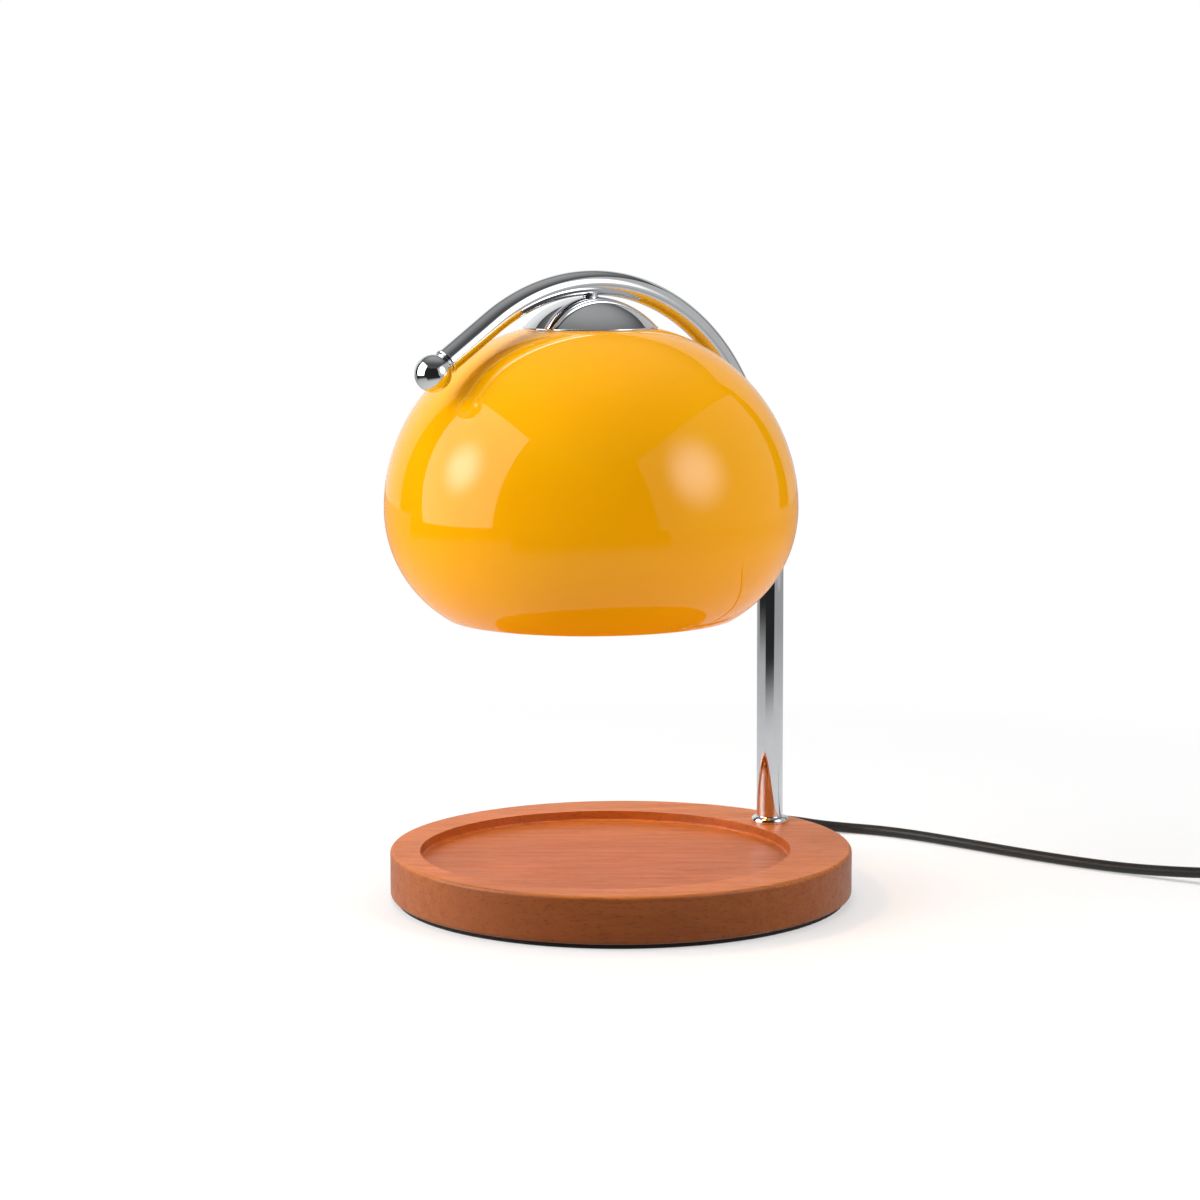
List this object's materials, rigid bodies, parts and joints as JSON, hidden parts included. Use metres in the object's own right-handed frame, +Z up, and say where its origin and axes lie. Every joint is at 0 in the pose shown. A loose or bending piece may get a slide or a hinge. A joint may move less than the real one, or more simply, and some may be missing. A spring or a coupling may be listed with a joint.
{
  "type": "candle warmer table lamp",
  "caption": "Table lamp that warms a candle: round wooden tray base, telescoping chrome stem with an arch, glass shade over a reflector bulb, and a mains lead with a dimmer.",
  "frame": {"origin": "centre of the base pad's underside, on the surface that the lamp stands on", "axes": "+Z up, the arch lies in the XZ plane, the stem stands at +X and the arch's ball end points to -X"},
  "size_m": [0.4523, 0.3462, 0.2708],
  "materials": {
    "stained_wood": "satin stained, fine straight grain",
    "foam_pad": "matte black",
    "cover_sheet": "matte black",
    "chrome": "polished chrome plating",
    "plated_steel": "zinc plated",
    "bearing_plastic": "natural, low friction",
    "silicone": "translucent silicone",
    "yellow_glass": "glossy, yellow-orange through its depth, opaque",
    "ceramic": "unglazed steatite ceramic",
    "bulb_mirror": "glass with a bright metal coat",
    "bulb_glass": "clear",
    "contact_brass": "nickel plated brass",
    "clear_block": "natural polyamide",
    "black_cord": "satin black, flexible",
    "inner_flex": "heat resisting sleeve",
    "black_plastic": "fine matte texture",
    "circuit_board": "laminate"
  },
  "bodies": {
    "base": {"wooden_base": "stained_wood", "base_pad": "foam_pad", "cavity_cover": "cover_sheet", "cover_screws": "plated_steel", "stem_tube": "chrome", "stem_rosette": "chrome", "stem_nipple": "plated_steel", "stem_washer": "plated_steel", "stem_lock_nut": "plated_steel", "stem_ferrule": "chrome", "guide_bush": "bearing_plastic", "cord_relief": "black_cord", "cord_tail": "black_cord", "cord_clamp": "clear_block", "clamp_screws": "plated_steel", "terminal_block": "clear_block", "terminal_screws": "contact_brass", "stem_leads": "inner_flex", "cord_strand": "black_cord", "cord_link": "black_cord", "cord_coil": "black_cord", "coil_tie": "black_plastic", "cord_plug_tail": "black_cord", "dimmer_lower_case": "black_plastic", "dimmer_upper_case": "black_plastic", "dimmer_board": "circuit_board", "dimmer_screws": "plated_steel", "plug_body": "black_plastic", "plug_relief": "black_cord", "plug_blades": "contact_brass"},
    "slider": {"friction_sleeve": "bearing_plastic"},
    "arm": {"arch_tube": "chrome", "ball_collar": "chrome", "ball_finial": "chrome", "finial_insert": "plated_steel", "hang_nipple": "plated_steel", "hanger_boss": "chrome", "dome_cap": "chrome", "dome_gasket": "silicone", "glass_shade": "yellow_glass", "shade_gasket": "silicone", "clamp_plate": "plated_steel", "shade_nut": "plated_steel", "holder_bracket": "plated_steel", "bracket_nut": "plated_steel", "lampholder": "ceramic", "holder_screws": "plated_steel", "holder_cover": "ceramic", "holder_contacts": "contact_brass", "arm_flex": "inner_flex"},
    "bulb": {"bulb_base": "ceramic", "bulb_pins": "contact_brass", "bulb_reflector": "bulb_mirror", "bulb_lens": "bulb_glass", "bulb_capsule": "bulb_glass"},
    "dimmer_knob": {"dimmer_knob": "black_plastic"}
  },
  "joints": [
    {"name": "height_slide", "type": "slide", "parent": "base", "child": "slider", "axis": [0, 0, 1], "range_m": [0, 0.06]},
    {"name": "arm_swivel", "type": "hinge", "parent": "slider", "child": "arm", "pos_m": [0.084, 0, 0.0831], "axis": [0, 0, 1], "range_deg": [-90, 90]},
    {"name": "bulb_twist", "type": "hinge", "parent": "arm", "child": "bulb", "pos_m": [-0.0153, 0, 0.2111], "axis": [0, 0, -1], "range_deg": [0, 40]},
    {"name": "dimmer_turn", "type": "hinge", "parent": "base", "child": "dimmer_knob", "pos_m": [0.23792, -0.19, 0.0133], "axis": [0, 0, -1], "range_deg": [0, 270]}
  ]
}
